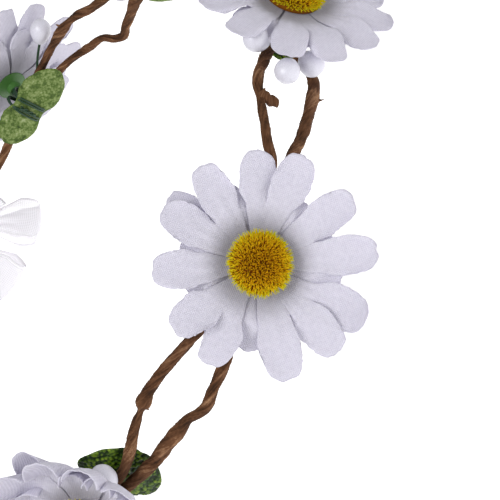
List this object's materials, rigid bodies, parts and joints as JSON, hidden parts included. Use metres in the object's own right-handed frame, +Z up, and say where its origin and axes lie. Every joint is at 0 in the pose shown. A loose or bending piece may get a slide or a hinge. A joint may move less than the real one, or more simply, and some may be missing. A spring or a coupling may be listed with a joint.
{
  "type": "flower crown",
  "caption": "Open ring of twisted paper-wrapped wire vines that carries turning fabric daisies, moss pads and berries, tied behind the head with a sheer ribbon bow.",
  "frame": {"origin": "centre of the head opening, on the table that the lowest petals rest on", "axes": "+Z up through the head opening, -Y towards the front daisy, +Y towards the bow"},
  "size_m": [0.2256, 0.253, 0.0554],
  "materials": {
    "petal_cloth": "stiffened plain weave",
    "flock": "short flocked fibre",
    "green_plastic": "moulded",
    "green_wire": "coated wire",
    "moss": "pebbled green cloth",
    "kraft_paper": "twisted brown paper",
    "steel_wire": "annealed wire",
    "berry_lacquer": "pearly",
    "organza": "sheer organza"
  },
  "bodies": {
    "root": {"vine_papers_front": "kraft_paper", "vine_wires_front": "steel_wire", "ties_front": "green_wire", "front_stem": "green_wire", "front_moss_pad": "moss", "ribbon_tie_left": "organza", "ribbon_tie_right": "organza", "bow": "organza"},
    "right_arm": {"upper_vine_paper_right": "kraft_paper", "lower_vine_paper_right": "kraft_paper", "vine_wires_right": "steel_wire", "ties_right": "green_wire", "berries_right": "berry_lacquer", "berry_wires_right": "green_wire", "right_front_stem": "green_wire", "right_front_moss_pad": "moss", "right_side_stem": "green_wire", "right_side_moss_pad": "moss", "right_back_stem": "green_wire", "right_back_moss_pad": "moss"},
    "left_arm": {"upper_vine_paper_left": "kraft_paper", "lower_vine_paper_left": "kraft_paper", "vine_wires_left": "steel_wire", "ties_left": "green_wire", "berries_left": "berry_lacquer", "berry_wires_left": "green_wire", "left_front_stem": "green_wire", "left_front_moss_pad": "moss", "left_side_stem": "green_wire", "left_side_moss_pad": "moss", "left_back_stem": "green_wire", "left_back_moss_pad": "moss"},
    "front_daisy": {"front_petals_upper": "petal_cloth", "front_petals_lower": "petal_cloth", "front_disc": "flock", "front_calyx": "green_plastic"},
    "right_front_daisy": {"right_front_petals_upper": "petal_cloth", "right_front_petals_lower": "petal_cloth", "right_front_disc": "flock", "right_front_calyx": "green_plastic"},
    "right_side_daisy": {"right_side_petals_upper": "petal_cloth", "right_side_petals_lower": "petal_cloth", "right_side_disc": "flock", "right_side_calyx": "green_plastic"},
    "right_back_daisy": {"right_back_petals_upper": "petal_cloth", "right_back_petals_lower": "petal_cloth", "right_back_disc": "flock", "right_back_calyx": "green_plastic"},
    "left_front_daisy": {"left_front_petals_upper": "petal_cloth", "left_front_petals_lower": "petal_cloth", "left_front_disc": "flock", "left_front_calyx": "green_plastic"},
    "left_side_daisy": {"left_side_petals_upper": "petal_cloth", "left_side_petals_lower": "petal_cloth", "left_side_disc": "flock", "left_side_calyx": "green_plastic"},
    "left_back_daisy": {"left_back_petals_upper": "petal_cloth", "left_back_petals_lower": "petal_cloth", "left_back_disc": "flock", "left_back_calyx": "green_plastic"}
  },
  "joints": [
    {"name": "left_flex", "type": "hinge", "parent": "root", "child": "left_arm", "pos_m": [-0.03804, -0.08157, 0.0223], "axis": [0, 0, 1], "range_deg": [-1.5, 6], "deforming": ["ribbon_tie_left"]},
    {"name": "right_flex", "type": "hinge", "parent": "root", "child": "right_arm", "pos_m": [0.03804, -0.08157, 0.0223], "axis": [0, 0, -1], "range_deg": [-1.5, 6], "deforming": ["ribbon_tie_right"]},
    {"name": "front_spin", "type": "hinge", "parent": "root", "child": "front_daisy", "pos_m": [0, -0.09, 0.0223], "axis": [0, -0.9391, 0.3436], "continuous": true},
    {"name": "right_front_spin", "type": "hinge", "parent": "right_arm", "child": "right_front_daisy", "pos_m": [0.06894, -0.05785, 0.0203], "axis": [0.6954, -0.5835, 0.4195], "continuous": true},
    {"name": "right_side_spin", "type": "hinge", "parent": "right_arm", "child": "right_side_daisy", "pos_m": [0.08863, 0.01563, 0.0228], "axis": [0.9319, 0.1643, 0.3233], "continuous": true},
    {"name": "right_back_spin", "type": "hinge", "parent": "right_arm", "child": "right_back_daisy", "pos_m": [0.045, 0.07794, 0.0213], "axis": [0.462, 0.8001, 0.3826], "continuous": true},
    {"name": "left_front_spin", "type": "hinge", "parent": "left_arm", "child": "left_front_daisy", "pos_m": [-0.06894, -0.05785, 0.0183], "axis": [-0.6686, -0.561, 0.4881], "continuous": true},
    {"name": "left_side_spin", "type": "hinge", "parent": "left_arm", "child": "left_side_daisy", "pos_m": [-0.08863, 0.01563, 0.0233], "axis": [-0.9387, 0.1655, 0.3024], "continuous": true},
    {"name": "left_back_spin", "type": "hinge", "parent": "left_arm", "child": "left_back_daisy", "pos_m": [-0.045, 0.07794, 0.0223], "axis": [-0.4696, 0.8133, 0.3436], "continuous": true}
  ],
  "couplings": [
    {"joint": "right_flex", "follows": "left_flex", "ratio": 1}
  ]
}
